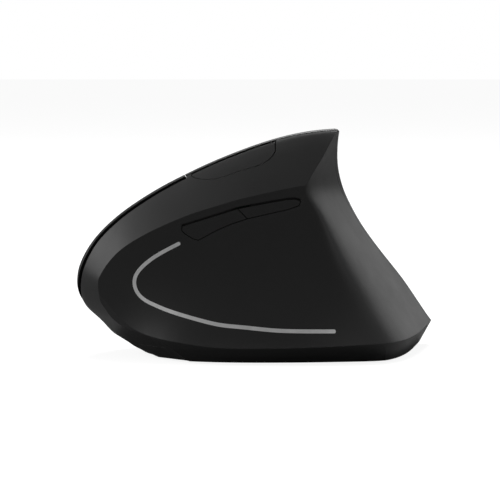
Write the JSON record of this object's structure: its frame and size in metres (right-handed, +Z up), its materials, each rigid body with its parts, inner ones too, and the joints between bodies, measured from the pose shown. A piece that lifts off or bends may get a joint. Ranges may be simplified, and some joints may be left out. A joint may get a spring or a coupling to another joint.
{
  "type": "vertical ergonomic mouse",
  "caption": "Upright handshake-grip computer mouse with side thumb buttons, a ridge button, finger keys, a scroll wheel, a bright trim line and a wide foot.",
  "frame": {"origin": "centre of the bounding box's bottom face, on the plane that the feet stand on", "axes": "+Z up, +X to the rear of the mouse (its longest side), +Y from the thumb side to the finger side"},
  "size_m": [0.12, 0.0629, 0.0753],
  "materials": {
    "soft_black": "fine soft-touch grain",
    "key_black": "fine soft-touch grain",
    "base_black": "satin moulded",
    "bright_trim": "satin silver",
    "wheel_rubber": "ribbed matte",
    "inner_plastic": "moulded",
    "steel": "plated",
    "contact_metal": "nickel plated",
    "circuit_board": "lacquered",
    "switch_black": "moulded",
    "clear_lens": "clear moulded",
    "ribbon": "flat cable",
    "cell": "wrapped",
    "receiver_black": "satin moulded",
    "foot_grey": "low-friction film"
  },
  "bodies": {
    "housing": {"thumb_shell": "soft_black", "palm_cover": "soft_black", "base_shell": "base_black", "bright_strip": "bright_trim", "wheel_springs": "steel", "finger_board": "circuit_board", "finger_frame": "inner_plastic", "hinge_pin": "steel", "frame_screws": "steel", "left_switch": "switch_black", "right_switch": "switch_black", "middle_switch": "switch_black", "thumb_board": "circuit_board", "thumb_switches": "switch_black", "thumb_screws": "steel", "dpi_board": "circuit_board", "dpi_switch": "switch_black", "main_board": "circuit_board", "board_chips": "switch_black", "board_screws": "steel", "sensor_chip": "switch_black", "sensor_lens": "clear_lens", "power_switch": "switch_black", "finger_ribbon": "ribbon", "thumb_ribbon": "ribbon", "battery_front": "cell", "battery_back": "cell", "spring_contacts": "contact_metal", "plate_contacts": "contact_metal", "front_foot": "foot_grey", "near_foot": "foot_grey", "far_foot": "foot_grey", "rear_foot": "foot_grey", "sensor_foot": "foot_grey", "base_screws": "steel"},
    "left_key": {"left_button": "key_black"},
    "right_key": {"right_button": "key_black"},
    "cradle": {"wheel_cradle": "inner_plastic", "scroll_encoder": "switch_black"},
    "wheel": {"wheel_tyre": "wheel_rubber", "wheel_hub": "inner_plastic", "wheel_axle": "steel"},
    "dpi_key": {"dpi_button": "key_black"},
    "forward_key": {"forward_button": "key_black"},
    "back_key": {"back_button": "key_black"},
    "power_knob": {"power_slider": "base_black"},
    "door": {"battery_door": "base_black"},
    "receiver": {"receiver_cap": "receiver_black", "receiver_plug": "contact_metal"}
  },
  "joints": [
    {"name": "left_button_press", "type": "hinge", "parent": "housing", "child": "left_key", "pos_m": [-0.0102, 0.01415, 0.03249], "axis": [-0.2183, -0.4973, 0.8397], "range_deg": [0, 1.1], "stiffness_Nm_per_rad": 2, "springref_deg": -1.15},
    {"name": "right_button_press", "type": "hinge", "parent": "housing", "child": "right_key", "pos_m": [-0.0102, 0.01415, 0.03249], "axis": [-0.2183, -0.4973, 0.8397], "range_deg": [0, 1.1], "stiffness_Nm_per_rad": 2, "springref_deg": -1.15},
    {"name": "wheel_click", "type": "slide", "parent": "housing", "child": "cradle", "axis": [0.3234, -0.8487, -0.4185], "range_m": [0, 0.0005], "stiffness_N_per_m": 400, "springref_m": -0.0004},
    {"name": "wheel_turn", "type": "hinge", "parent": "cradle", "child": "wheel", "pos_m": [-0.03161, 0.00905, 0.0239], "axis": [-0.2183, -0.4973, 0.8397], "continuous": true},
    {"name": "dpi_press", "type": "slide", "parent": "housing", "child": "dpi_key", "axis": [0, 0.6, -0.8], "range_m": [0, 0.0005], "stiffness_N_per_m": 120, "springref_m": -0.0004},
    {"name": "forward_press", "type": "slide", "parent": "housing", "child": "forward_key", "axis": [0, 1, 0], "range_m": [0, 0.00045], "stiffness_N_per_m": 120, "springref_m": -0.0004},
    {"name": "back_press", "type": "slide", "parent": "housing", "child": "back_key", "axis": [0, 1, 0], "range_m": [0, 0.00045], "stiffness_N_per_m": 120, "springref_m": -0.0004},
    {"name": "power_slide", "type": "slide", "parent": "housing", "child": "power_knob", "axis": [0, -1, 0], "range_m": [0, 0.0024]},
    {"name": "battery_door_open", "type": "hinge", "parent": "housing", "child": "door", "pos_m": [-0.0084, 0.00325, 0.00135], "axis": [0, 1, 0], "range_deg": [0, 75]},
    {"name": "receiver_pull", "type": "slide", "parent": "housing", "child": "receiver", "axis": [0, 0, -1], "range_m": [0, 0.02]}
  ]
}
